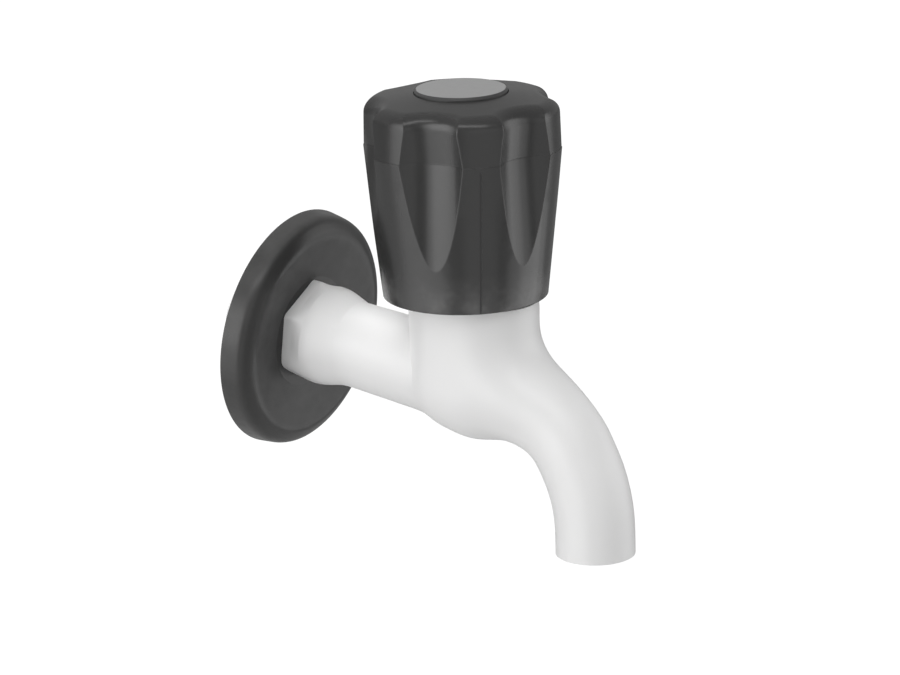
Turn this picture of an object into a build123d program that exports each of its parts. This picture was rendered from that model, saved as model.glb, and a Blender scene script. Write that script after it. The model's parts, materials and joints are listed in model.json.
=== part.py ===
from build123d import *

import os
from math import atan, cos, degrees, radians, sin, sqrt, tan

# A screw-down bib tap for a 15 mm supply, in millimetres.
# The inlet axis is +X, out of the wall. The wall plane is x = 0 and +Z is up.
# The headwork axis crosses the inlet axis and leans back towards the wall.
# Pieces on the headwork are drawn upright about Z and then placed on that axis.

# Inlet shank and wall flange
thread_diameter = 20.955
thread_length = 15.0
thread_lead_in = 1.2
relief_depth = 0.9
relief_width = 4.8
inlet_bore = 14.0
throat_bore = 13.0
throat_length = 14.8
flange_diameter = 62.0
flange_rim_width = 2.0
flange_rim_depth = 5.3
flange_rim_draft = 0.7
flange_edge_radius = 0.8
flange_crest_diameter = 53.0
flange_crest_rise = 2.1
flange_crest_radius = 1.2
flange_skin = 1.8
flange_hub_diameter = 29.0
flange_hub_rise = 0.1
flange_hub_set_back = 1.6
flange_hole_clearance = 0.25

# Spanner hexagon, its round collar, and the barrel
hex_across_flats = 24.0
hex_length = 2.4
hex_corner_radius = 1.6
hex_run_out = 3.2
shank_rise = 0.35
collar_diameter = 25.9
collar_length = 7.4
collar_slope = 17.3
collar_shoulder_radius = 11.0
collar_foot_radius = 8.0
barrel_diameter = 21.3
barrel_growth = 1.7
barrel_rise = 0.5

# Headwork axis
headwork_distance = 54.8
headwork_lean = 7.0

# Neck, globe, chamber and seat, measured along the headwork axis from the inlet axis
neck_diameter = 29.0
neck_height = 27.0
globe_back_height = 1.7
globe_front_height = 0.4
bulge_offset = 4.9
bulge_inset = 0.1
bulge_rim_gap = 0.8
chamber_bore = 22.6
chamber_floor = 7.0
seat_height = 8.5
seat_bore = 11.0
seat_lip_width = 1.5
neck_thread_bore = 24.0
neck_thread_depth = 8.0

# Spout
spout_diameter = 20.0
spout_wall = 2.8
spout_reach = 37.3
spout_drop = 39.0
nose_length = 5.7
spout_bend_radius = 36.6
spout_bend_angle = 30.0
# Sections of the form that runs from the neck into the spout. Each has its share of the
# way out to the bend, its share of the way up to the knob, its heading below level in
# degrees, and its shares of the length and of the width that the neck has over the spout.
root_sections = [
    (0.0, 1.0, 90, 1.0, 1.0),
    (0.0, 0.898, 90, 1.0, 1.0),
    (0.037, 0.647, 78.8, 0.937, 1.0),
    (0.261, 0.402, 56.8, 0.676, 0.867),
    (0.584, 0.297, 40.3, 0.22, 0.356),
    (0.848, 0.176, 44, 0.0, 0.0),
    (0.936, 0.091, 51, 0.0, 0.0),
]
# Sections of the belly under it. The last value is the share of the neck's diameter.
belly_sections = [
    (0.084, 0.326, 4, 0.759),
    (0.201, 0.3155, 4, 0.724),
    (0.351, 0.2955, 8, 0.662),
    (0.492, 0.270, 14, 0.552),
]
# Sections of the waterway's root. The last value is the share of the spout's bore.
waterway_sections = [
    (0.266, 0.763, 62, 0.63),
    (0.358, 0.605, 60, 0.71),
    (0.489, 0.431, 49, 0.81),
    (0.702, 0.265, 38, 0.90),
    (0.851, 0.174, 43, 0.96),
]

# Valve, measured from the seat
seat_gap = 0.05
washer_diameter = 16.0
washer_thickness = 3.5
jumper_plate_diameter = 17.0
jumper_plate_thickness = 2.2
jumper_stem_diameter = 6.0
jumper_stem_length = 11.0
jumper_socket_spare = 0.5
jumper_stud_diameter = 4.0
jumper_stud_end = 0.6
washer_nut_across_flats = 7.0
washer_nut_height = 2.6

# Bonnet, packing and gland nut
fit_clearance = 0.05
seal_thickness = 1.0
seal_inset = 0.4
bonnet_thread_end_gap = 0.5
bonnet_across_flats = 24.0
bonnet_hex_height = 5.0
bonnet_collar_diameter = 19.0
bonnet_collar_height = 13.0
bonnet_throat_height = 2.0
packing_box_diameter = 14.4
packing_box_depth = 6.6
packing_ring_thickness = 1.6
packing_ring_gap = 0.1
packing_ring_count = 2
gland_ring_thickness = 1.2
gland_nut_across_flats = 16.0
gland_nut_height = 3.8
gland_nut_gap = 0.4

# Spindle
spindle_thread_diameter = 13.0
spindle_stem_diameter = 9.9
spline_tip_diameter = 8.0
spline_root_diameter = 7.2
spline_teeth = 16
spline_length = 8.5
valve_lift = 4.0
lift_margin = 0.4

# Knob
knob_overhang = 3.8
knob_rim_diameter = 41.4
knob_parting_rise = 37.8
knob_parting_diameter = 49.8
knob_parting_step = 0.15
knob_upper_draft = 2.5
knob_edge_rise = 11.8
knob_edge_radius = 3.8
knob_crown_rise = 1.8
knob_wall = 2.0
knob_top_thickness = 3.0
knob_skirt_land = 6.0
knob_ceiling_slope = 4.0
flute_count = 6
flute_start_rise = 11.2
flute_width_angle = 38.5
flute_floor_diameter = 41.0
flute_top_floor_diameter = 43.9
flute_phase = 45.0
knob_boss_diameter = 16.0
knob_boss_gap = 1.2
knob_rib_thickness = 1.5
knob_rib_height = 11.0

# Splined insert, screw and cap of the knob
insert_diameter = 12.0
insert_web = 2.5
insert_end_gap = 0.3
screw_diameter = 4.0
screw_length = 12.0
screw_hole_spare = 1.0
screw_hole_clearance = 0.2
screw_head_diameter = 7.4
screw_head_height = 2.6
screw_slot_width = 1.0
screw_slot_depth = 1.3
screw_washer_diameter = 9.0
screw_washer_thickness = 0.8
cap_face_diameter = 22.3
cap_diameter = 23.2
cap_bevel = 0.6
cap_thickness = 2.0
cap_stand = 0.9
cap_collar_diameter = 17.0
cap_collar_wall = 1.2
cap_collar_height = 2.4
cap_side_clearance = 0.15

# How far a cutting shape runs past the piece that it cuts, and how near to a height
# an edge counts as lying on it
past = 1.0
edge_margin = 0.01

# Places along the inlet axis that follow from the sizes above
flange_front = flange_rim_depth + flange_hub_rise
hex_end = flange_front + hex_length
collar_start = hex_end + hex_run_out
collar_end = flange_front + collar_length
barrel_slope = barrel_growth / 2 / (headwork_distance - flange_front)
barrel_at_collar = barrel_diameter / 2 + barrel_slope * (collar_end - flange_front)
collar_fall = collar_diameter / 2 - barrel_at_collar
barrel_start = collar_end + collar_fall / (tan(radians(collar_slope)) + barrel_slope)

# Places along the headwork axis that follow from the sizes above
knob_rim = neck_height - knob_overhang
bulge_top = knob_rim - bulge_rim_gap
bulge_centre = (bulge_offset + bulge_inset) / 2
thread_foot = neck_height - neck_thread_depth
seal_bottom = neck_height
hex_bottom = seal_bottom + seal_thickness
collar_bottom = hex_bottom + bonnet_hex_height
collar_top = collar_bottom + bonnet_collar_height
packing_floor = collar_top - packing_box_depth
throat_bottom = packing_floor - bonnet_throat_height
packing_pitch = packing_ring_thickness + packing_ring_gap
gland_ring_bottom = packing_floor + packing_ring_count * packing_pitch
gland_ring_top = gland_ring_bottom + gland_ring_thickness
gland_nut_bottom = collar_top + gland_nut_gap
gland_nut_top = gland_nut_bottom + gland_nut_height
washer_bottom = seat_height + seat_gap
washer_top = washer_bottom + washer_thickness
plate_top = washer_top + jumper_plate_thickness
spindle_bottom = plate_top
spindle_shoulder = throat_bottom - valve_lift - lift_margin
knob_parting = knob_rim + knob_parting_rise
knob_edge = knob_parting + knob_edge_rise
knob_crown = knob_edge + knob_crown_rise
flute_start = knob_rim + flute_start_rise
ceiling = knob_edge - knob_top_thickness
cap_face = knob_crown + cap_stand
cap_floor = cap_face - cap_thickness
boss_bottom = gland_nut_top + knob_boss_gap
screw_seat = cap_floor - cap_collar_height - screw_head_height - screw_washer_thickness
head_bottom = screw_seat + screw_washer_thickness
head_top = head_bottom + screw_head_height
insert_top = screw_seat
spindle_top = insert_top - insert_web - insert_end_gap
spline_bottom = spindle_top - spline_length

# Where the spout's round bend and its straight nose begin
nose_top = nose_length - spout_drop
bend_centre = (spout_reach - spout_bend_radius, nose_top)
bend_heading = 90 - spout_bend_angle
bend_start = (
    bend_centre[0] + spout_bend_radius * sin(radians(bend_heading)),
    bend_centre[1] + spout_bend_radius * cos(radians(bend_heading)),
)

os.makedirs("parts", exist_ok=True)

headwork = Plane(
    origin=(headwork_distance, 0, 0),
    x_dir=(cos(radians(headwork_lean)), 0, sin(radians(headwork_lean))),
    z_dir=(-sin(radians(headwork_lean)), 0, cos(radians(headwork_lean))),
)


def on_headwork(shape):
    """Place a piece that is drawn upright about Z on the leaning headwork axis."""
    return headwork.location * shape


def turned(points):
    """Revolve a closed outline of (radius, height) points about Z."""
    return revolve(Plane.XZ * make_face(Polyline(points, close=True)), Axis.Z)


def turned_on_inlet(points, eased=()):
    """Revolve (x, radius) points about the inlet axis, easing some corners first."""
    outline = make_face(Polyline(points, close=True))
    for corner, radius in eased:
        nearest = outline.vertices().sort_by_distance((corner[0], corner[1], 0))[0]
        outline = fillet(nearest, radius)
    return revolve(Plane.XZ * outline, Axis.X)


def rod(diameter, bottom, top):
    """A solid cylinder about Z from one height to another."""
    return Pos(0, 0, (bottom + top) / 2) * Cylinder(diameter / 2, top - bottom)


def ring(outer_diameter, inner_diameter, bottom, top):
    """A washer about Z from one height to another."""
    return rod(outer_diameter, bottom, top) - rod(inner_diameter, bottom, top)


def hexagonal_nut(across_flats, bottom, top):
    """A hexagonal blank about Z whose corners are turned off at both ends."""
    corner = across_flats / sqrt(3)
    dip = (corner - across_flats / 2) * tan(radians(30))
    sides = RegularPolygon(across_flats / 2, 6, major_radius=False, rotation=30)
    prism = Pos(0, 0, bottom) * extrude(sides, top - bottom)
    blank = turned(
        [
            (0, bottom),
            (across_flats / 2, bottom),
            (corner, bottom + dip),
            (corner, top - dip),
            (across_flats / 2, top),
            (0, top),
        ]
    )
    return prism & blank


def serrated(tip_diameter, root_diameter, bottom, top):
    """A serrated shaft about Z with straight V teeth."""
    points = []
    for tooth in range(spline_teeth):
        tip_angle = radians(360 * tooth / spline_teeth)
        root_angle = radians(360 * (tooth + 0.5) / spline_teeth)
        points.append((tip_diameter / 2 * cos(tip_angle), tip_diameter / 2 * sin(tip_angle)))
        points.append((root_diameter / 2 * cos(root_angle), root_diameter / 2 * sin(root_angle)))
    return Pos(0, 0, bottom) * extrude(make_face(Polyline(points, close=True)), top - bottom)


def spout_section(share_out, share_up, heading, long_radius, wide_radius):
    """A section of the spout, square to its heading. The long radius lies upright."""
    out = bulge_centre + share_out * (bend_start[0] - bulge_centre)
    up = bend_start[1] + share_up * (bulge_top - bend_start[1])
    tilt = radians(heading)
    upright = (sin(tilt), 0, cos(tilt))
    tangent = (cos(tilt), 0, -sin(tilt))
    outline = Circle(long_radius) if long_radius == wide_radius else Ellipse(long_radius, wide_radius)
    return Plane(origin=(out, 0, up), x_dir=upright, z_dir=tangent) * outline


def spout_tube(diameter, sections):
    """A spout-shaped rod: a tapering root, a round bend and a straight nose."""
    last = spout_section(1, 0, bend_heading, diameter / 2, diameter / 2)
    root = loft(sections + [last])
    bend = revolve(last, Axis((bend_centre[0], 0, bend_centre[1]), (0, 1, 0)), spout_bend_angle)
    nose = Pos(spout_reach, 0, 0) * rod(diameter, -spout_drop, nose_top)
    return root + bend + nose


def spout_outside():
    """The outer form: it leaves the neck along its whole front and narrows to the spout."""
    neck = neck_diameter / 2
    nose = spout_diameter / 2
    spare_length = neck + (bulge_offset - bulge_inset) / 2 - nose
    root = [
        spout_section(out, up, heading, nose + length * spare_length, nose + width * (neck - nose))
        for out, up, heading, length, width in root_sections
    ]
    belly = [
        spout_section(out, up, heading, share * neck, share * neck)
        for out, up, heading, share in belly_sections
    ]
    return spout_tube(spout_diameter, root) + loft(belly)


def spout_waterway():
    """The waterway, from the front of the chamber above the seat to the mouth."""
    bore = spout_diameter - 2 * spout_wall
    root = [
        spout_section(out, up, heading, share * bore / 2, share * bore / 2)
        for out, up, heading, share in waterway_sections
    ]
    return spout_tube(bore, root)


def chamber_outside():
    """The neck and the globe below it, whose two round ends lie side by side."""
    radius = neck_diameter / 2
    back_centre = Vector(0, 0, globe_back_height)
    front_centre = Vector(bulge_offset, 0, globe_front_height)
    across = front_centre - back_centre
    belly = Plane(origin=back_centre, z_dir=across) * extrude(Circle(radius), across.length)
    domes = (Pos(back_centre) * Sphere(radius)) + (Pos(front_centre) * Sphere(radius))
    return rod(neck_diameter, globe_back_height, neck_height) + domes + belly


def across_inlet(sketch, distance):
    """Place a section square to the inlet axis, on the shank's raised centre line."""
    return Plane.YZ.offset(distance) * Pos(0, shank_rise, 0) * sketch


def hexagon_shank():
    """The spanner hexagon, point up, whose sides run out softly into the round collar."""
    sides = RegularPolygon(hex_across_flats / 2, 6, major_radius=False, rotation=30)
    sides = fillet(sides.vertices(), hex_corner_radius)
    prism = extrude(across_inlet(sides, flange_front), hex_length, dir=(1, 0, 0))
    run_out = loft([across_inlet(sides, hex_end), across_inlet(Circle(collar_diameter / 2), collar_start)])
    return prism + run_out


def barrel_radius(distance):
    """The barrel's radius at a distance from the wall."""
    return barrel_diameter / 2 + barrel_slope * (distance - flange_front)


def shank_collar():
    """The round collar beyond the hexagon, running down in a long shoulder to the barrel."""
    shoulder = (collar_end, collar_diameter / 2)
    foot = (barrel_start, barrel_radius(barrel_start))
    end = barrel_start + collar_foot_radius
    form = turned_on_inlet(
        [
            (collar_start, 0),
            (collar_start, collar_diameter / 2),
            shoulder,
            foot,
            (end, barrel_diameter / 2),
            (end, 0),
        ],
        [(shoulder, collar_shoulder_radius), (foot, collar_foot_radius)],
    )
    return Pos(0, 0, shank_rise) * form


def barrel():
    """The barrel, which grows and rises a little on its way to the neck."""
    start = across_inlet(Circle(barrel_diameter / 2), flange_front)
    end_plane = Plane.YZ.offset(headwork_distance)
    end = end_plane * Pos(0, barrel_rise, 0) * Circle((barrel_diameter + barrel_growth) / 2)
    return loft([start, end])


def threaded_tail():
    """The inlet tail at the thread's outside diameter, relieved behind the hexagon."""
    radius = thread_diameter / 2
    thread_end = flange_front - relief_width
    return turned_on_inlet(
        [
            (-thread_length, 0),
            (-thread_length, radius - thread_lead_in),
            (thread_lead_in - thread_length, radius),
            (thread_end, radius),
            (thread_end + relief_depth, radius - relief_depth),
            (hex_end, radius - relief_depth),
            (hex_end, 0),
        ]
    )


def upper_room():
    """The chamber above the seat, up to the threaded mouth of the neck."""
    lip = seat_bore / 2 + seat_lip_width
    return turned(
        [
            (lip, seat_height),
            (lip, chamber_floor),
            (chamber_bore / 2, chamber_floor),
            (chamber_bore / 2, thread_foot),
            (neck_thread_bore / 2, thread_foot),
            (neck_thread_bore / 2, neck_height + past),
            (0, neck_height + past),
            (0, seat_height),
        ]
    )


def tap_body():
    """The one-piece moulded body, hollow from the inlet over the seat to the mouth."""
    headwork_side = on_headwork(chamber_outside() + spout_outside())
    outside = threaded_tail() + hexagon_shank() + shank_collar() + barrel() + headwork_side
    throat_start = headwork_distance - throat_length
    inlet_way = turned_on_inlet(
        [
            (-thread_length - past, 0),
            (-thread_length - past, inlet_bore / 2),
            (throat_start, inlet_bore / 2),
            (throat_start, throat_bore / 2),
            (headwork_distance, throat_bore / 2),
            (headwork_distance, 0),
        ]
    )
    elbow = Sphere(throat_bore / 2)
    orifice = rod(seat_bore, 0, seat_height + past)
    hollow = on_headwork(elbow + orifice + upper_room() + spout_waterway())
    return outside - inlet_way - hollow


def wall_flange():
    """A thin moulded cover plate, open behind, that rises to a crest inside its rim
    and falls again to the hexagon."""
    outer = flange_diameter / 2
    front = outer - flange_rim_draft
    rim_edge = (flange_rim_depth, front)
    crest = (flange_rim_depth + flange_crest_rise, flange_crest_diameter / 2)
    hub = flange_hub_diameter / 2
    hub_inside = hub - flange_skin
    hole = thread_diameter / 2 + flange_hole_clearance
    return turned_on_inlet(
        [
            (0, outer),
            rim_edge,
            crest,
            (flange_front, hub),
            (flange_front, hole),
            (flange_hub_set_back, hole),
            (flange_hub_set_back, hub_inside),
            (flange_front - flange_skin, hub_inside),
            (crest[0] - flange_skin, crest[1]),
            (flange_rim_depth - flange_skin, front - flange_rim_width),
            (0, outer - flange_rim_width),
        ],
        [(rim_edge, flange_edge_radius), (crest, flange_crest_radius)],
    )


def bonnet():
    """The screwed headwork body that guides the spindle and holds the packing."""
    foot = thread_foot + bonnet_thread_end_gap
    blank = (
        rod(neck_thread_bore - 2 * fit_clearance, foot, hex_bottom)
        + hexagonal_nut(bonnet_across_flats, hex_bottom, collar_bottom)
        + rod(bonnet_collar_diameter, collar_bottom, collar_top)
    )
    return (
        blank
        - rod(spindle_thread_diameter + 2 * fit_clearance, foot - past, throat_bottom)
        - rod(spindle_stem_diameter + 2 * fit_clearance, throat_bottom, collar_top)
        - rod(packing_box_diameter, packing_floor, collar_top + past)
    )


def bonnet_washer():
    """The flat seal between the neck and the bonnet's hexagon."""
    return ring(neck_diameter - 2 * seal_inset, neck_thread_bore, seal_bottom, hex_bottom)


def packing_ring(bottom, thickness):
    """A ring that fills the packing box round the spindle."""
    inner = spindle_stem_diameter + 2 * fit_clearance
    outer = packing_box_diameter - 2 * fit_clearance
    return ring(outer, inner, bottom, bottom + thickness)


def gland_nut():
    """A hexagon with a spigot that screws down into the packing box."""
    spigot = rod(packing_box_diameter - 2 * fit_clearance, gland_ring_top, gland_nut_bottom)
    nut = hexagonal_nut(gland_nut_across_flats, gland_nut_bottom, gland_nut_top)
    hole = spindle_stem_diameter + 2 * fit_clearance
    return spigot + nut - rod(hole, gland_ring_top - past, gland_nut_top + past)


def spindle():
    """The turning spindle: threaded foot, plain stem and serrated head."""
    foot = rod(spindle_thread_diameter, spindle_bottom, spindle_shoulder)
    stem = rod(spindle_stem_diameter, spindle_shoulder, spline_bottom)
    head = serrated(spline_tip_diameter, spline_root_diameter, spline_bottom, spindle_top)
    socket_top = spindle_bottom + jumper_stem_length + jumper_socket_spare
    socket = rod(jumper_stem_diameter + 2 * fit_clearance, spindle_bottom - past, socket_top)
    tapped_bottom = head_bottom - screw_length - screw_hole_spare
    tapped = rod(screw_diameter, tapped_bottom, spindle_top + past)
    return foot + stem + head - socket - tapped


def jumper():
    """The valve plate with its guide stem above and its stud below."""
    plate = rod(jumper_plate_diameter, washer_top, plate_top)
    stem = rod(jumper_stem_diameter, plate_top, plate_top + jumper_stem_length)
    stud = rod(jumper_stud_diameter, washer_bottom - washer_nut_height - jumper_stud_end, washer_top)
    return plate + stem + stud


def tap_washer():
    """The soft disc that closes on the seat."""
    return ring(washer_diameter, jumper_stud_diameter, washer_bottom, washer_top)


def washer_nut():
    """The small nut that holds the soft disc on the valve plate."""
    bottom = washer_bottom - washer_nut_height
    nut = hexagonal_nut(washer_nut_across_flats, bottom, washer_bottom)
    return nut - rod(jumper_stud_diameter, bottom - past, washer_bottom + past)


def knob_blank():
    """The turned form that the flutes are cut from, widest at the parting line."""
    widest = knob_parting_diameter / 2
    upper = widest - knob_parting_step
    edge = upper - knob_edge_rise * tan(radians(knob_upper_draft))
    return turned(
        [
            (0, knob_rim),
            (knob_rim_diameter / 2, knob_rim),
            (widest, knob_parting),
            (upper, knob_parting),
            (edge, knob_edge),
            (cap_diameter / 2, knob_crown),
            (0, knob_crown),
        ]
    )


def leaning_bar(radius, floor, slope):
    """A long round bar beside the axis. Its near side passes the parting line at the
    floor radius and moves outwards by the slope for each step up."""
    length = 4 * (knob_crown - knob_rim)
    bar = Rotation(0, degrees(atan(slope)), 0) * Cylinder(radius, length)
    return Pos(floor + radius, 0, knob_parting) * bar


def flute_cutter():
    """One flute: deepest at the parting line, it runs out in the skirt near the rim
    and grows shallower on its way up to the crown."""
    half = radians(flute_width_angle / 2)
    widest = knob_parting_diameter / 2
    floor = flute_floor_diameter / 2
    chord = widest * sin(half)
    depth = widest * cos(half) - floor
    bar_radius = (chord * chord + depth * depth) / (2 * depth)
    run_down = knob_parting - flute_start
    skirt_growth = (knob_parting_diameter - knob_rim_diameter) / 2 / knob_parting_rise
    run_out_radius = knob_rim_diameter / 2 + skirt_growth * flute_start_rise
    lower_slope = (floor - run_out_radius) / run_down
    upper_slope = (flute_top_floor_diameter - flute_floor_diameter) / 2 / knob_edge_rise
    clear = knob_parting_diameter + 2 * bar_radius
    lower = leaning_bar(bar_radius, floor, lower_slope) & rod(clear, knob_rim - past, knob_parting)
    upper = leaning_bar(bar_radius, floor, upper_slope) & rod(clear, knob_parting, knob_crown + past)
    return lower + upper


def knob_outside():
    """The turned form with its flutes cut and its scalloped crown edge rounded."""
    body = knob_blank()
    cutter = flute_cutter()
    for count in range(flute_count):
        body -= Rotation(0, 0, flute_phase + 360 * count / flute_count) * cutter
    crown_edges = body.edges().filter_by(runs_round_the_crown)
    return fillet(crown_edges, knob_edge_radius)


def runs_round_the_crown(edge):
    """True for an edge between the knob's side and its top face."""
    box = edge.bounding_box()
    return box.min.Z > knob_edge - edge_margin and box.max.Z < knob_crown - edge_margin


def knob():
    """The moulded knob shell with its boss, ribs and cap recess."""
    skirt_inside = knob_rim_diameter / 2 - knob_wall
    top_inside = flute_floor_diameter / 2 - knob_wall
    cavity = turned(
        [
            (0, knob_rim - past),
            (skirt_inside, knob_rim - past),
            (skirt_inside, knob_rim + knob_skirt_land),
            (top_inside, ceiling - knob_ceiling_slope),
            (top_inside - knob_ceiling_slope, ceiling),
            (0, ceiling),
        ]
    )
    shell = knob_outside() - cavity
    shell += rod(knob_boss_diameter, boss_bottom, ceiling)
    rib_box = Box(top_inside + past, knob_rib_thickness, knob_rib_height + past)
    rib = Pos((top_inside + past) / 2, 0, ceiling + (past - knob_rib_height) / 2) * rib_box
    for count in range(flute_count):
        shell += Rotation(0, 0, flute_phase + 360 * (count + 0.5) / flute_count) * rib
    insert_bore = rod(insert_diameter, boss_bottom - past, insert_top)
    recess = rod(cap_diameter + 2 * cap_side_clearance, cap_floor, cap_face + past)
    collar_recess = rod(cap_collar_diameter + 2 * cap_side_clearance, screw_seat, cap_floor)
    return shell - insert_bore - recess - collar_recess


def knob_insert():
    """The splined bush pressed into the boss."""
    gap = 2 * fit_clearance
    hole_top = spindle_top + insert_end_gap
    hole = serrated(spline_tip_diameter + gap, spline_root_diameter + gap, boss_bottom - past, hole_top)
    stem_room = rod(spindle_stem_diameter + gap, boss_bottom - past, spline_bottom + insert_end_gap)
    screw_hole = rod(screw_diameter + 2 * screw_hole_clearance, spindle_top, insert_top + past)
    return rod(insert_diameter, boss_bottom, insert_top) - hole - stem_room - screw_hole


def screw_washer():
    """The plain washer under the knob screw."""
    hole = screw_diameter + 2 * screw_hole_clearance
    return ring(screw_washer_diameter, hole, screw_seat, head_bottom)


def knob_screw():
    """A slotted cheese-head screw down into the spindle."""
    shank = rod(screw_diameter - 2 * fit_clearance, head_bottom - screw_length, head_bottom)
    slot_box = Box(screw_head_diameter + past, screw_slot_width, 2 * screw_slot_depth)
    return shank + rod(screw_head_diameter, head_bottom, head_top) - Pos(0, 0, head_top) * slot_box


def knob_cap():
    """The round cap over the screw, bevelled, with a snap collar beneath."""
    outer = cap_diameter / 2
    collar = cap_collar_diameter / 2
    return turned(
        [
            (0, cap_face),
            (cap_face_diameter / 2, cap_face),
            (outer, cap_face - cap_bevel),
            (outer, cap_floor),
            (collar, cap_floor),
            (collar, cap_floor - cap_collar_height),
            (collar - cap_collar_wall, cap_floor - cap_collar_height),
            (collar - cap_collar_wall, cap_floor),
            (0, cap_floor),
        ]
    )


pieces = {
    "tap_body": tap_body(),
    "wall_flange": wall_flange(),
    "bonnet": on_headwork(bonnet()),
    "bonnet_washer": on_headwork(bonnet_washer()),
    "gland_ring": on_headwork(packing_ring(gland_ring_bottom, gland_ring_thickness)),
    "gland_nut": on_headwork(gland_nut()),
    "spindle": on_headwork(spindle()),
    "jumper": on_headwork(jumper()),
    "tap_washer": on_headwork(tap_washer()),
    "washer_nut": on_headwork(washer_nut()),
    "knob": on_headwork(knob()),
    "knob_insert": on_headwork(knob_insert()),
    "screw_washer": on_headwork(screw_washer()),
    "knob_screw": on_headwork(knob_screw()),
    "knob_cap": on_headwork(knob_cap()),
}
for count in range(packing_ring_count):
    ring_bottom = packing_floor + count * packing_pitch
    pieces[f"packing_ring_{count + 1}"] = on_headwork(packing_ring(ring_bottom, packing_ring_thickness))

for name, shape in pieces.items():
    export_step(shape, f"parts/{name}.step")
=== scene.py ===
import json
import math

import bpy
import bmesh
from mathutils import Matrix, Vector
from mathutils.bvhtree import BVHTree
from mathutils.kdtree import KDTree


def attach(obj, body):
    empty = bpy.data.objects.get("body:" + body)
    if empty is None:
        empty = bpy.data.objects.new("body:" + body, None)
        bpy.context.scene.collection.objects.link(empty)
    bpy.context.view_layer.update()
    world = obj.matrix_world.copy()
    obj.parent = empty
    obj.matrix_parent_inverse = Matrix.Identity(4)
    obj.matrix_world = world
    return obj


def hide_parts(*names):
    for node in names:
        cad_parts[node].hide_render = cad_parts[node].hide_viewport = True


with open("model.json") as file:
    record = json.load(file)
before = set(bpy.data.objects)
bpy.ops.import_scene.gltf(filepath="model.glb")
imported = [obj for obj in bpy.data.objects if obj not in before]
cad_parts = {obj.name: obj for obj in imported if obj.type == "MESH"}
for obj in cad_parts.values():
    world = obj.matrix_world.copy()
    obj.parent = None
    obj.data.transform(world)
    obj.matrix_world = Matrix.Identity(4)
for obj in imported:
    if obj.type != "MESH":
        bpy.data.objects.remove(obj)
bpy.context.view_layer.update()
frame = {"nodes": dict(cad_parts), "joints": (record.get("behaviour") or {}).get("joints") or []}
nodes = frame["nodes"]
shown = dict(nodes)  # what is dressed: each node, or the piece that stands for it
joints = {joint["name"]: joint for joint in frame["joints"]}
metre = 1000  # in millimetres
print("frame loaded,", len(nodes), "CAD nodes")

# The leaning axis that the headwork turns about, as the frame gives it
headworkFoot = Vector(joints["knob_turn"]["pos_m"])
headworkUp = Vector(joints["knob_turn"]["axis"]).normalized()
headworkOut = Vector((headworkUp.z, 0, -headworkUp.x))  # square to it, away from the wall
headworkLean = math.atan2(-headworkUp.x, headworkUp.z)


def besideHeadwork(point):  # how far out from that axis and how far up it, in millimetres
    away = (point - headworkFoot) * metre
    return away.dot(headworkOut), away.dot(headworkUp)


def lowestOnHeadwork(name):  # how far up the axis a node begins, in millimetres
    return min(besideHeadwork(vertex.co)[1] for vertex in nodes[name].data.vertices)


class Wire:  # one socket of a material, with arithmetic on values
    def __init__(self, tree, socket):
        self.tree = tree
        self.socket = socket

    def value(self, operation, *others, first=None):
        inputs = [self if first is None else first, *others]
        return self.tree.add("ShaderNodeMath", {"operation": operation}, dict(enumerate(inputs)))

    def __add__(self, other):
        return self.value("ADD", other)

    def __radd__(self, other):
        return self.value("ADD", other)

    def __sub__(self, other):
        return self.value("SUBTRACT", other)

    def __rsub__(self, other):
        return self.value("SUBTRACT", self, first=other)

    def __mul__(self, other):
        return self.value("MULTIPLY", other)

    def __rmul__(self, other):
        return self.value("MULTIPLY", other)

    def __pow__(self, other):
        return self.value("POWER", other)

    def __rpow__(self, other):
        return self.value("POWER", self, first=other)

    def __lt__(self, other):
        return self.value("LESS_THAN", other)

    def __gt__(self, other):  # what a number < a wire calls
        return self.value("GREATER_THAN", other)

    def __abs__(self):
        return self.value("ABSOLUTE")


class NodeBench:  # makes and links the nodes of one tree
    def __init__(self, tree):
        self.links = tree.links
        self.nodeList = tree.nodes

    def add(self, kind, settings=None, inputs=None, out=0):
        node = self.nodeList.new(kind)
        for key, setting in (settings or {}).items():
            setattr(node, key, setting)
        for key, given in (inputs or {}).items():
            if isinstance(given, Wire):
                self.links.new(given.socket, node.inputs[key])
            else:
                node.inputs[key].default_value = given
        return Wire(self, node.outputs[out])

    def blend(self, factor, first, second):  # mixes two colours
        return self.add(
            "ShaderNodeMix", {"data_type": "RGBA"},
            {"Factor": factor, 6: first, 7: second}, out=2,
        )

    def between(self, factor, ends):  # a value that runs from the first end to the second
        return factor * (ends[1] - ends[0]) + ends[0]

    def band(self, number, ends):  # 0 below the first end, 1 above the second, soft between
        return self.add(
            "ShaderNodeMapRange", {"interpolation_type": "SMOOTHSTEP"},
            {"Value": number, "From Min": ends[0], "From Max": ends[1]},
        )

    def parts(self, vector):
        split = self.add("ShaderNodeSeparateXYZ", None, {0: vector}).socket.node
        return [Wire(self, socket) for socket in split.outputs]

    def isRay(self, kind):  # 1 for a ray of this kind, 0 for any other
        rays = self.add("ShaderNodeLightPath").socket.node
        return Wire(self, rays.outputs["Is " + kind + " Ray"])


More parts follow.
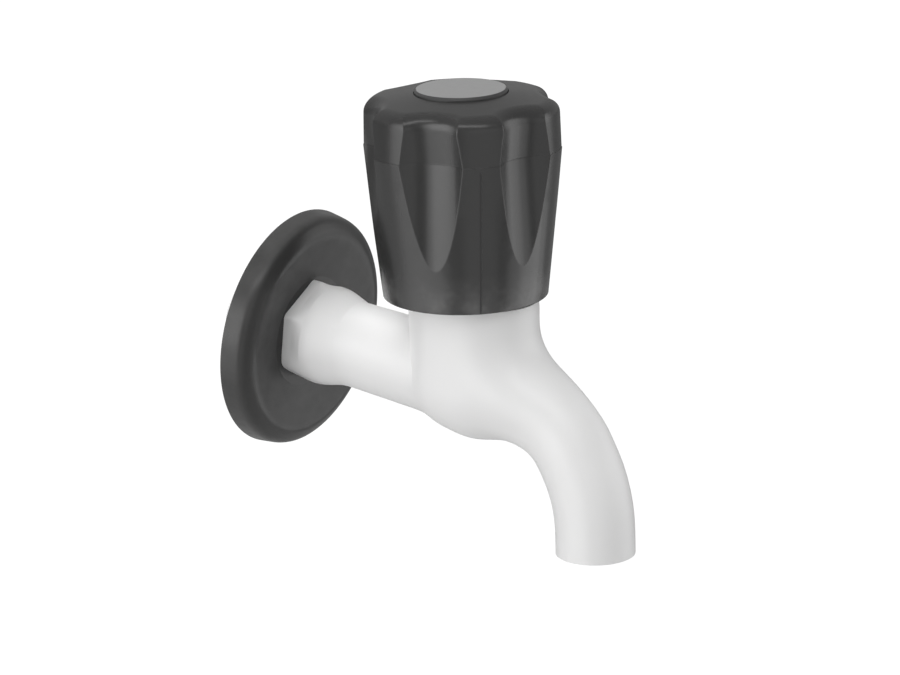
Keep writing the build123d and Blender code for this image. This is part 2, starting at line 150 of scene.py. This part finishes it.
class Finish(NodeBench):  # one material, with a Principled shader
    def __init__(self, name, settings):
        self.material = bpy.data.materials.new(name)
        self.material.use_nodes = True
        super().__init__(self.material.node_tree)
        self.shader = self.nodeList["Principled BSDF"]
        self.output = self.nodeList["Material Output"]
        for socket, number in settings.items():
            self.shader.inputs[socket].default_value = number

    def place(self):  # a point of the object, in millimetres
        here = self.add("ShaderNodeTexCoord", out="Object")
        return self.add("ShaderNodeVectorMath", {"operation": "SCALE"}, {0: here, "Scale": metre})

    def onHeadwork(self):  # the same point, turned upright with the headwork axis as Z
        moved = self.add(
            "ShaderNodeVectorMath", {"operation": "SUBTRACT"},
            {0: self.place(), 1: headworkFoot * metre},
        )
        return self.add(
            "ShaderNodeVectorRotate", {"rotation_type": "Y_AXIS"},
            {"Vector": moved, "Angle": headworkLean},
        )

    def radiusOf(self, first, second):  # from an axis, given the two parts square to it
        return (first * first + second * second) ** 0.5

    def mottled(self, factor, greys, warmth=0.0):
        return self.blend(factor, grey(greys[0], warmth), grey(greys[1], warmth))

    def noise(self, vector, scale, detail=2.0, roughness=0.5):
        return self.add(
            "ShaderNodeTexNoise", {},
            {"Vector": vector, "Scale": scale, "Detail": detail, "Roughness": roughness},
        )

    def softEdge(self, radius):  # rounds the corners of the shape a little, in millimetres
        return self.add("ShaderNodeBevel", {"samples": 6}, {"Radius": radius / metre}, out="Normal")

    def bump(self, height, strength, depth, normal=None):  # depth in millimetres
        inputs = {"Height": height, "Strength": strength, "Distance": depth / metre}
        if normal is not None:
            inputs["Normal"] = normal
        return self.add("ShaderNodeBump", {}, inputs)

    def grained(self, vector, scale, strength, depth, normal=None):
        return self.bump(self.noise(vector, scale), strength, depth, normal)

    def turned(self, axis, number, scale, strength, depth):  # the fine lines that a lathe leaves
        along = self.add("ShaderNodeCombineXYZ", None, {axis: number})
        return self.bump(self.noise(along, scale, detail=4.0), strength, depth)

    def feed(self, colour, roughness, normal):
        self.links.new(colour.socket, self.shader.inputs["Base Color"])
        self.links.new(roughness.socket, self.shader.inputs["Roughness"])
        self.links.new(normal.socket, self.shader.inputs["Normal"])

    def dress(self, *names):
        for name in names:
            mesh = shown[name].data
            mesh.materials.clear()
            mesh.materials.append(self.material)


def grey(level, warmth=0.0):  # a near-grey colour, a little warm or cool
    return (level * (1 + warmth), level, level * (1 - warmth), 1)


def newObject(name, data):
    made = bpy.data.objects.new(name, data)
    bpy.context.scene.collection.objects.link(made)
    return made


def meshFrom(shape, name):
    mesh = bpy.data.meshes.new(name)
    shape.to_mesh(mesh)
    shape.free()
    return mesh


def closeTube(shape, rows):  # a skin round rows with equal numbers of points, closed at both ends
    for row, after in zip(rows, rows[1:]):
        for index in range(len(row)):
            around = (index + 1) % len(row)
            shape.faces.new((row[index], row[around], after[around], after[index]))
    shape.faces.new(rows[0])
    shape.faces.new(reversed(rows[-1]))
    bmesh.ops.recalc_face_normals(shape, faces=shape.faces)


# Two mouldings with their shallow creases drawn out smooth: each point near a crease goes to the
# average height of the skin around it. Lengths are in millimetres, angles in degrees.
bodyFlow = {
    "creaseAngle": 5.0, "cornerAngle": 50.0, "reach": 7.0, "finest": 0.9, "spread": 2.2, "swell": 0.2,
    "back": -1.0, "top": 19.0, "underBarrel": -3.5,
}
flangeFlow = {
    "creaseAngle": 4.0, "cornerAngle": 62.0, "reach": 3.2, "finest": 0.8, "spread": 1.0, "swell": 0.0,
    "inner": 22.0, "front": 3.6,
}
flowWork = {"weld": 0.002, "rounds": 6, "spreads": 2.4, "normalLead": 1.6}


def onBodyFlow(point):  # the globe, the spout's root and the barrel's underside
    out, up = besideHeadwork(point)
    return bodyFlow["back"] < out and up < bodyFlow["top"] or up < bodyFlow["underBarrel"]


def onFlangeFlow(point):  # the front edge of the rim, and the crest beside it
    radius = math.hypot(point.y, point.z) * metre
    return point.x * metre > flangeFlow["front"] and radius > flangeFlow["inner"]


def outerFaces(shape, cornerAngle):  # the skin reached from the foremost face without turning a corner
    sharpest = math.radians(cornerAngle)
    start = max(shape.faces, key=lambda face: face.calc_center_median().x)
    skin, waiting = {start}, [start]
    while waiting:
        for edge in waiting.pop().edges:
            if len(edge.link_faces) == 2 and edge.calc_face_angle(0) < sharpest:
                for face in edge.link_faces:
                    if face not in skin:
                        skin.add(face)
                        waiting.append(face)
    return skin


def middleOf(edge):
    return (edge.verts[0].co + edge.verts[1].co) / 2


def treeOf(points):
    tree = KDTree(len(points))
    for index, point in enumerate(points):
        tree.insert(point, index)
    tree.balance()
    return tree


def creasesOf(shape, skin, flow, wanted):
    shallowest = math.radians(flow["creaseAngle"])
    creases = []
    for edge in shape.edges:
        if len(edge.link_faces) == 2 and all(face in skin for face in edge.link_faces):
            if wanted(middleOf(edge)) and edge.calc_face_angle(0) > shallowest:
                creases += [edge.verts[0].co.copy(), middleOf(edge), edge.verts[1].co.copy()]
    return treeOf(creases)


def refineNear(shape, skin, creases, flow):  # short edges beside the creases, in a few rounds
    for attempt in range(flowWork["rounds"]):
        coarse = []
        for edge in shape.edges:
            length = edge.calc_length()
            if length * metre > flow["finest"] and any(face in skin for face in edge.link_faces):
                if creases.find(middleOf(edge))[2] < flow["reach"] / metre + length / 2:
                    coarse.append(edge)
        if not coarse:
            break
        bmesh.ops.subdivide_edges(shape, edges=coarse, cuts=1)
        bmesh.ops.triangulate(shape, faces=[face for face in shape.faces if len(face.verts) > 3])
        skin = outerFaces(shape, flow["cornerAngle"])
    return skin


def smoothedPoints(shape, skin, creases, flow):  # new place, facing and weight of each point near a crease
    points = [vertex for vertex in shape.verts if any(face in skin for face in vertex.link_faces)]
    areas, normals = [], []
    for vertex in points:
        around = [face for face in vertex.link_faces if face in skin]
        areas.append(sum(face.calc_area() for face in around))
        normals.append(sum((face.normal * face.calc_area() for face in around), Vector()).normalized())
    tree = treeOf([vertex.co for vertex in points])
    spread = flow["spread"] / metre
    smoothed = {}
    for index, vertex in enumerate(points):
        near = creases.find(vertex.co)[2] / (flow["reach"] / metre)
        if near >= 1:
            continue
        weight = (1 - near * near) ** 2
        total, place, facing = 0, Vector(), Vector()
        for co, other, distance in tree.find_range(vertex.co, spread * flowWork["spreads"]):
            if normals[other].dot(normals[index]) > 0:
                share = areas[other] * math.exp(-0.5 * (distance / spread) ** 2)
                total += share
                place += co * share
                facing += normals[other] * share
        if total > 0:
            facing.normalize()
            shift = (place / total - vertex.co).dot(facing) + flow["swell"] / metre
            smoothed[vertex] = (vertex.co + facing * (shift * weight), facing, weight)
    return smoothed


def drawOut(node, pieceName, flow, wanted, prepare=None):
    source = nodes[node].data
    mesh = source.copy()
    mesh.name = pieceName
    shape = bmesh.new()
    shape.from_mesh(mesh)
    kept = shape.loops.layers.float_vector.new("kept")  # the facings that the CAD mesh has
    for face in shape.faces:
        for loop in face.loops:
            loop[kept] = source.corner_normals[loop.index].vector
    if prepare:
        prepare(shape, kept)
    bmesh.ops.remove_doubles(shape, verts=shape.verts, dist=flowWork["weld"] / metre)
    skin = outerFaces(shape, flow["cornerAngle"])
    creases = creasesOf(shape, skin, flow, wanted)
    skin = refineNear(shape, skin, creases, flow)
    shape.normal_update()
    smoothed = smoothedPoints(shape, skin, creases, flow)
    for vertex, (place, facing, weight) in smoothed.items():
        vertex.co = place
    shape.to_mesh(mesh)
    facings = []
    for face in shape.faces:
        for loop in face.loops:
            facing = loop[kept].normalized()
            if face in skin and loop.vert in smoothed:
                place, smooth, weight = smoothed[loop.vert]
                facing = facing.lerp(smooth, min(1, weight * flowWork["normalLead"])).normalized()
            facings.append(facing)
    shape.free()
    mesh.normals_split_custom_set(facings)
    piece = newObject(pieceName, mesh)
    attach(piece, "tap")
    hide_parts(node)
    shown[node] = piece
    print(pieceName, "has", len(mesh.polygons), "faces,", len(smoothed), "points drawn out")


# The inlet's pipe thread, right-handed, in millimetres. The shoulders are a share of its height.
threadLook = {
    "outer": 20.955, "core": 19.155, "pitch": 1.814, "back": -14.1, "front": -0.9, "stepsPerTurn": 64,
    "crest": 0.22, "shoulder": 0.93, "foot": 0.80, "sunk": 0.25, "smoothAngle": 70.0,
    "fadeTurns": 0.6, "fadePower": 0.7, "leastFade": 0.02,
}
tailLook = {"front": -0.5, "outside": 0.95, "endFacing": 0.9}


def bareTail(shape, kept):  # takes the tail down to the thread's core, where the CAD has its outside
    core = threadLook["core"] / 2 / metre
    front = tailLook["front"] / metre
    for vertex in shape.verts:
        radius = math.hypot(vertex.co.y, vertex.co.z)
        if vertex.co.x < front and radius > core:
            vertex.co.y *= core / radius
            vertex.co.z *= core / radius
    for face in shape.faces:
        points = [vertex.co for vertex in face.verts]
        onTail = all(point.x < front for point in points) and abs(face.normal.x) < tailLook["endFacing"]
        if onTail and all(math.hypot(point.y, point.z) > core * tailLook["outside"] for point in points):
            for loop in face.loops:
                loop[kept] = Vector((0, loop.vert.co.y, loop.vert.co.z)).normalized()


def makeThread():
    look = threadLook
    turns = (look["front"] - look["back"]) / look["pitch"]
    core, depth = look["core"] / 2, (look["outer"] - look["core"]) / 2
    crest, foot, sunk = look["crest"], look["foot"], look["sunk"]
    shape = bmesh.new()
    rows = []
    for step in range(round(turns * look["stepsPerTurn"]) + 1):
        turned = step / look["stepsPerTurn"]
        angle = math.tau * turned
        fade = min(1, turned / look["fadeTurns"], (turns - turned) / look["fadeTurns"])
        height = depth * max(look["leastFade"], fade) ** look["fadePower"]
        shoulder = height * look["shoulder"]
        middle = look["back"] + look["pitch"] * turned
        profile = [(-foot, -sunk), (-foot, 0), (-crest, shoulder), (0, height),
                   (crest, shoulder), (foot, 0), (foot, -sunk)]
        row = []
        for along, out in profile:
            radius = core + out
            place = Vector((middle + along, radius * math.cos(angle), radius * math.sin(angle)))
            row.append(shape.verts.new(place / metre))
        rows.append(row)
    closeTube(shape, rows)
    mesh = meshFrom(shape, "inlet_thread_ridge")
    mesh.shade_smooth()
    mesh.set_sharp_from_angle(angle=math.radians(look["smoothAngle"]))
    piece = newObject("inlet_thread_ridge", mesh)
    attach(piece, "tap")
    shown["inlet_thread_ridge"] = piece
    print("thread of", round(turns, 1), "turns made")


# The two lines that the mould's halves leave on the knob, below its parting line, in millimetres
seamLook = {
    "bearings": (-45.0, 135.0), "foot": 0.9, "top": 36.8, "steps": 60, "castFrom": 50.0,
    "edge": 0.16, "flat": 0.064, "height": 0.136, "sunk": 0.04, "keel": 0.12, "fadeShare": 0.125,
}


def makeSeams():
    look = seamLook
    edge, flat = look["edge"], look["flat"]
    knob = nodes["knob"].data
    skin = BVHTree.FromPolygons(
        [vertex.co for vertex in knob.vertices],
        [tuple(face.vertices) for face in knob.polygons],
    )
    rim = lowestOnHeadwork("knob")
    shape = bmesh.new()
    for bearing in look["bearings"]:
        turn = math.radians(bearing)
        out = headworkOut * math.cos(turn) + Vector((0, 1, 0)) * math.sin(turn)
        side = headworkUp.cross(out)
        rows = []
        for step in range(look["steps"] + 1):
            share = step / look["steps"]
            rise = rim + look["foot"] + (look["top"] - look["foot"]) * share
            centre = headworkFoot + headworkUp * (rise / metre)
            hit, normal = skin.ray_cast(centre + out * (look["castFrom"] / metre), -out)[:2]
            fade = min(1, share / look["fadeShare"], (1 - share) / look["fadeShare"]) ** 0.5
            height = look["height"] * fade
            profile = [(-edge, -look["sunk"]), (-flat, height), (flat, height), (edge, -look["sunk"]),
                       (0, -look["keel"])]
            row = []
            for across, raised in profile:
                place = hit + side * (across / metre) + normal * (raised / metre)
                row.append(shape.verts.new(place))
            rows.append(row)
        closeTube(shape, rows)
    piece = newObject("knob_seams", meshFrom(shape, "knob_seams"))
    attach(piece, "handle")
    shown["knob_seams"] = piece
    print("knob seams made")


# In the finishes, a pair of numbers is where something begins and ends. Scales are of a noise over
# millimetres, and depths and radii are in millimetres.
bodyLook = {
    "ior": 1.5, "greys": (0.818, 0.842), "warmth": 0.002, "cloudScale": 0.05,
    "roughness": (0.28, 0.36), "roughScale": 0.3,
    "peel": {"scale": 0.9, "strength": 0.12, "depth": 0.02},
}


def dressBody():
    look = bodyLook
    skin = Finish("moulded off-white", {"IOR": look["ior"]})
    here = skin.place()
    cloud = skin.noise(here, look["cloudScale"], detail=3.0)
    skin.feed(
        colour=skin.mottled(cloud, look["greys"], look["warmth"]),
        roughness=skin.between(skin.noise(here, look["roughScale"]), look["roughness"]),
        normal=skin.grained(here, **look["peel"]),
    )
    skin.dress("tap_body", "inlet_thread_ridge")


# Heights are above the knob's rim. The knob is painted paler near its rim, in patches, as a painted
# reflection of the white body below it.
knobLook = {
    "ior": 1.65, "greys": (0.0243, 0.0297), "warmth": 0.01, "cloudScale": 0.12,
    "paintedReflection": 0.095, "paintedReflectionHeights": (1.5, 11.0), "paintedReflectionShares": (0.25, 1.0),
    "patchScale": 0.09, "patchRoughness": 0.6, "patches": (0.36, 0.66),
    "paintedSeamShade": 0.011, "paintedSeamShadeShare": 0.85, "paintedSeamShadeShift": 0.3, "paintedSeamShadeWidths": (0.12, 0.34),
    "roughness": (0.20, 0.28), "roughScale": 0.6, "edge": 0.5,
    "grain": {"scale": 7.0, "strength": 0.3, "depth": 0.012},
}


def dressKnob():
    look = knobLook
    skin = Finish("satin charcoal", {"IOR": look["ior"]})
    here = skin.onHeadwork()
    x, y, z = skin.parts(here)
    rim = lowestOnHeadwork("knob")
    cloud = skin.noise(here, look["cloudScale"], detail=3.0)
    base = skin.mottled(cloud, look["greys"], look["warmth"])
    patchy = skin.noise(here, look["patchScale"], detail=3.0, roughness=look["patchRoughness"])
    # painted reflection: a paler band low on the knob, in patches
    low = 1 - skin.band(z, [rim + height for height in look["paintedReflectionHeights"]])
    paintedReflection = low * skin.between(skin.band(patchy, look["patches"]), look["paintedReflectionShares"])
    base = skin.blend(paintedReflection, base, grey(look["paintedReflection"], look["warmth"]))
    turn = math.radians(seamLook["bearings"][0])
    beside = y * math.cos(turn) - x * math.sin(turn)  # across the plane of the two seams
    # painted shade: a dark line along one side of each seam, below its top
    atSeam = 1 - skin.band(abs(beside + look["paintedSeamShadeShift"]), look["paintedSeamShadeWidths"])
    paintedSeamShade = atSeam * (z < rim + seamLook["top"]) * look["paintedSeamShadeShare"]
    base = skin.blend(paintedSeamShade, base, grey(look["paintedSeamShade"], look["warmth"]))
    skin.feed(
        colour=base,
        roughness=skin.between(skin.noise(here, look["roughScale"]), look["roughness"]),
        normal=skin.grained(here, **look["grain"], normal=skin.softEdge(look["edge"])),
    )
    skin.dress("knob", "knob_seams")


# The slope outside the crest is painted paler, as painted light in the trough, and the rim paler still, as a
# painted highlight in patches
flangeLook = {
    "ior": 1.48, "greys": (0.0165, 0.0275), "warmth": 0.01, "cloudScale": 0.16, "clouds": (0.3, 0.7),
    # rim is the grey of the painted highlight on the flange's rim
    "slope": 0.036, "slopeRadii": (26.2, 27.4), "rim": 0.056, "paintedRimHighlightRadii": (28.8, 30.2),
    "paintedRimHighlightShares": (0.5, 1.0), "roughness": (0.24, 0.38), "roughScale": 0.35,
    "grain": {"scale": 5.0, "strength": 0.3, "depth": 0.02},
    "waves": {"scale": 0.11, "strength": 1.0, "depth": 0.10},
}


def dressFlange():
    look = flangeLook
    skin = Finish("soft charcoal", {"IOR": look["ior"]})
    here = skin.place()
    y, z = skin.parts(here)[1:]
    radius = skin.radiusOf(y, z)
    cloud = skin.band(skin.noise(here, look["cloudScale"], detail=4.0), look["clouds"])
    base = skin.mottled(cloud, look["greys"], look["warmth"])
    # painted light: the slope outside the crest is paler
    inPaintedTroughLight = skin.band(radius, look["slopeRadii"])
    base = skin.blend(inPaintedTroughLight, base, grey(look["slope"], look["warmth"]))
    # painted highlight: the rim is paler still, in patches
    inPaintedRimHighlight = skin.band(radius, look["paintedRimHighlightRadii"]) * skin.between(cloud, look["paintedRimHighlightShares"])
    base = skin.blend(inPaintedRimHighlight, base, grey(look["rim"], look["warmth"]))
    uneven = skin.noise(here, look["roughScale"], detail=3.0)
    skin.feed(
        colour=base,
        roughness=skin.between(uneven, look["roughness"]),
        normal=skin.grained(here, **look["grain"], normal=skin.grained(here, **look["waves"])),
    )
    skin.dress("wall_flange")


# The chamfer round the cap's face is painted dark, as a painted shadow; edge is its grey
capLook = {
    "ior": 1.48, "greys": (0.216, 0.234), "cloudScale": 0.25, "edge": 0.05, "paintedChamferShadeRadii": (11.0, 11.25),
    "roughness": (0.38, 0.46), "roughScale": 0.8,
    "grain": {"scale": 8.0, "strength": 0.3, "depth": 0.01},
}


def dressCap():
    look = capLook
    skin = Finish("satin grey", {"IOR": look["ior"]})
    here = skin.onHeadwork()
    x, y = skin.parts(here)[:2]
    face = skin.mottled(skin.noise(here, look["cloudScale"], detail=3.0), look["greys"])
    # painted shadow on the chamfer round the face
    inPaintedChamferShade = skin.band(skin.radiusOf(x, y), look["paintedChamferShadeRadii"])
    skin.feed(
        colour=skin.blend(inPaintedChamferShade, face, grey(look["edge"])),
        roughness=skin.between(skin.noise(here, look["roughScale"]), look["roughness"]),
        normal=skin.grained(here, **look["grain"]),
    )
    skin.dress("knob_cap")


brassLook = {
    "bright": (0.72, 0.52, 0.22, 1), "tarnished": (0.60, 0.40, 0.15, 1), "tarnishScale": 0.22,
    "roughness": (0.21, 0.37), "lines": {"axis": 2, "scale": 1.6, "strength": 0.35, "depth": 0.03},
}


def dressBrass():
    look = brassLook
    skin = Finish("turned brass", {"Metallic": 1.0})
    here = skin.onHeadwork()
    z = skin.parts(here)[2]
    tarnish = skin.noise(here, look["tarnishScale"], detail=4.0)
    skin.feed(
        colour=skin.blend(tarnish, look["bright"], look["tarnished"]),
        roughness=skin.between(tarnish, look["roughness"]),
        normal=skin.turned(number=z, **look["lines"]),
    )
    skin.dress("bonnet", "gland_ring", "gland_nut", "spindle", "jumper", "washer_nut", "knob_insert")


steelLook = {
    "dull": (0.50, 0.51, 0.52, 1), "bright": (0.66, 0.66, 0.65, 1), "dullScale": 0.7,
    "roughness": (0.25, 0.40), "rings": {"axis": 0, "scale": 5.0, "strength": 0.3, "depth": 0.02},
}


def dressSteel():
    look = steelLook
    skin = Finish("plated steel", {"Metallic": 1.0})
    here = skin.onHeadwork()
    x, y = skin.parts(here)[:2]
    dull = skin.noise(here, look["dullScale"], detail=3.0)
    skin.feed(
        colour=skin.blend(dull, look["dull"], look["bright"]),
        roughness=skin.between(dull, look["roughness"]),
        normal=skin.turned(number=skin.radiusOf(x, y), **look["rings"]),
    )
    skin.dress("screw_washer", "knob_screw")


fibreLook = {
    "ior": 1.45, "dark": (0.20, 0.03, 0.02, 1), "pale": (0.42, 0.10, 0.06, 1),
    "strandScale": 2.4, "strandRoughness": 0.7, "roughness": (0.6, 0.8), "strength": 0.5, "depth": 0.05,
}


def dressFibre():
    look = fibreLook
    skin = Finish("red fibre", {"IOR": look["ior"]})
    here = skin.place()
    strands = skin.noise(here, look["strandScale"], detail=6.0, roughness=look["strandRoughness"])
    skin.feed(
        colour=skin.blend(strands, look["dark"], look["pale"]),
        roughness=skin.between(strands, look["roughness"]),
        normal=skin.bump(strands, look["strength"], look["depth"]),
    )
    skin.dress("bonnet_washer")


# Strands are counted round the ring, and slant is in radians for each millimetre of height
packingLook = {
    "ior": 1.5, "dark": (0.02, 0.02, 0.02, 1), "pale": (0.09, 0.085, 0.08, 1),
    "strands": 24.0, "slant": 6.0, "roughness": (0.3, 0.6), "strength": 0.6, "depth": 0.08,
}


def dressPacking():
    look = packingLook
    skin = Finish("greased packing", {"IOR": look["ior"]})
    x, y, z = skin.parts(skin.onHeadwork())
    around = skin.add("ShaderNodeMath", {"operation": "ARCTAN2"}, {0: y, 1: x}) * look["strands"]
    up = z * look["slant"]
    braid = (around + up).value("SINE") * (around - up).value("SINE") * 0.5 + 0.5
    skin.feed(
        colour=skin.blend(braid, look["dark"], look["pale"]),
        roughness=skin.between(braid, look["roughness"]),
        normal=skin.bump(braid, look["strength"], look["depth"]),
    )
    skin.dress("packing_ring_1", "packing_ring_2")


rubberLook = {
    "ior": 1.5, "greys": (0.018, 0.04), "bloomScale": 0.8, "roughness": (0.55, 0.75),
    "grain": {"scale": 6.0, "strength": 0.3, "depth": 0.02},
}


def dressRubber():
    look = rubberLook
    skin = Finish("valve rubber", {"IOR": look["ior"]})
    here = skin.place()
    bloom = skin.noise(here, look["bloomScale"], detail=4.0)
    skin.feed(
        colour=skin.mottled(bloom, look["greys"]),
        roughness=skin.between(bloom, look["roughness"]),
        normal=skin.grained(here, **look["grain"]),
    )
    skin.dress("tap_washer")


drawOut("tap_body", "flowing_body", bodyFlow, onBodyFlow, bareTail)
drawOut("wall_flange", "soft_flange", flangeFlow, onFlangeFlow)
makeThread()
makeSeams()
dressBody()
dressKnob()
dressFlange()
dressCap()
dressBrass()
dressSteel()
dressFibre()
dressPacking()
dressRubber()
print("finishes made")


# Angles are in degrees, lengths in metres, and the lens in millimetres
cameraLook = {
    "aim": (0.04923, -0.00134, 0.01049),
    "azimuth": 32.72, "elevation": 20.39, "roll": 4.67,
    "distance": 0.94955, "lens": 151.08, "farthest": 50,
}


def directionTo(bearing, height):  # the bearing turns from -Y towards +X, the height is above level
    bearing, height = math.radians(bearing), math.radians(height)
    level = math.cos(height)
    return Vector((math.sin(bearing) * level, -math.cos(bearing) * level, math.sin(height)))


def makeCamera():
    look = cameraLook
    azimuth, roll = math.radians(look["azimuth"]), math.radians(look["roll"])
    back = directionTo(look["azimuth"], look["elevation"])
    right = Vector((math.cos(azimuth), math.sin(azimuth), 0))
    up = back.cross(right)
    tiltedRight = right * math.cos(roll) + up * math.sin(roll)
    tiltedUp = up * math.cos(roll) - right * math.sin(roll)
    data = bpy.data.cameras.new("camera")
    data.lens = look["lens"]
    data.clip_end = look["farthest"]
    camera = newObject("camera", data)
    turn = Matrix((tiltedRight, tiltedUp, back)).transposed().to_4x4()
    camera.matrix_world = Matrix.Translation(Vector(look["aim"]) + back * look["distance"]) @ turn
    bpy.context.scene.camera = camera


makeCamera()
print("camera placed")


# Lengths are in metres. floorWhite is how much of what the camera sees of the floor is plain glow.
stageLook = {
    "floorDrop": 0.85, "floorSize": 14.0, "floorCells": 8, "floorBase": 0.56, "floorRoughness": 0.9,
    "floorGlow": 1.2, "floorWhite": 0.85,
}
# Bearings go from the camera's line to its right and heights above level, both in degrees
studioLook = {
    "sky": 0.30, "distance": 1.5,
    "panels": {
        "left wall": {"bearing": -53, "height": -4, "size": (2.0, 1.7), "power": 11.6, "mirrored": True},
        "left lamp": {"bearing": -56, "height": 14, "size": (1.2, 1.7), "power": 4.8, "mirrored": False},
        "left glare": {"bearing": -52, "height": 8, "size": (1.2, 1.1), "power": 3.7, "mirrored": True,
                       "lights": False},
        "front wall": {"bearing": 25, "height": -4, "size": (1.2, 1.7), "power": 2.0, "mirrored": True},
        "right wall": {"bearing": 94, "height": -4, "size": (1.9, 1.7), "power": 6.6, "mirrored": True},
        "right lamp": {"bearing": 97, "height": -4, "size": (0.9, 1.7), "power": 2.5, "mirrored": True},
        "high front": {"bearing": -15, "height": 50, "size": (0.9, 0.7), "power": 3.2, "mirrored": False},
        "high back": {"bearing": -140, "height": 50, "size": (0.9, 0.7), "power": 14.3, "mirrored": False},
        "high strip": {"bearing": -10, "height": 52, "size": (1.7, 0.3), "power": 3.2, "mirrored": True,
                       "lights": False},
        "ceiling": {"bearing": 0, "height": 88, "size": (1.0, 1.0), "power": 9.0, "mirrored": False},
    },
}


def makeFloor():
    look = stageLook
    cells = look["floorCells"]
    shape = bmesh.new()
    bmesh.ops.create_grid(shape, x_segments=cells, y_segments=cells, size=look["floorSize"])
    mesh = meshFrom(shape, "floor")
    floor = newObject("floor", mesh)
    floor.location = (0, 0, -look["floorDrop"])
    skin = Finish("pale floor", {"Roughness": look["floorRoughness"], "Base Color": grey(look["floorBase"])})
    white = skin.isRay("Camera") * look["floorWhite"]
    glow = skin.add("ShaderNodeEmission", None, {"Color": grey(1), "Strength": look["floorGlow"]})
    lit = Wire(skin, skin.shader.outputs[0])
    mixed = skin.add("ShaderNodeMixShader", None, {0: white, 1: lit, 2: glow})
    skin.links.new(mixed.socket, skin.output.inputs["Surface"])
    mesh.materials.append(skin.material)


def makeSky():
    world = bpy.data.worlds.new("studio")
    bpy.context.scene.world = world
    world.use_nodes = True
    bench = NodeBench(world.node_tree)
    background = bench.nodeList["Background"]
    background.inputs["Color"].default_value = grey(1)
    seen = bench.isRay("Camera") + bench.isRay("Transmission")
    strength = bench.between(seen, (studioLook["sky"], 1))  # white behind the part, dim in mirrors
    bench.links.new(strength.socket, background.inputs["Strength"])


def makePanels():
    for name, panel in studioLook["panels"].items():
        towards = directionTo(cameraLook["azimuth"] + panel["bearing"], panel["height"])
        data = bpy.data.lights.new(name, "AREA")
        data.shape = "RECTANGLE"
        data.size, data.size_y = panel["size"]
        data.energy = panel["power"]
        light = newObject(name, data)
        light.visible_glossy = panel["mirrored"]
        light.visible_diffuse = panel.get("lights", True)
        light.location = Vector(cameraLook["aim"]) + towards * studioLook["distance"]
        light.rotation_euler = towards.to_track_quat("Z", "Y").to_euler()


makeFloor()
makeSky()
makePanels()
bpy.context.scene.view_settings.view_transform = "Standard"
print("floor and light made")
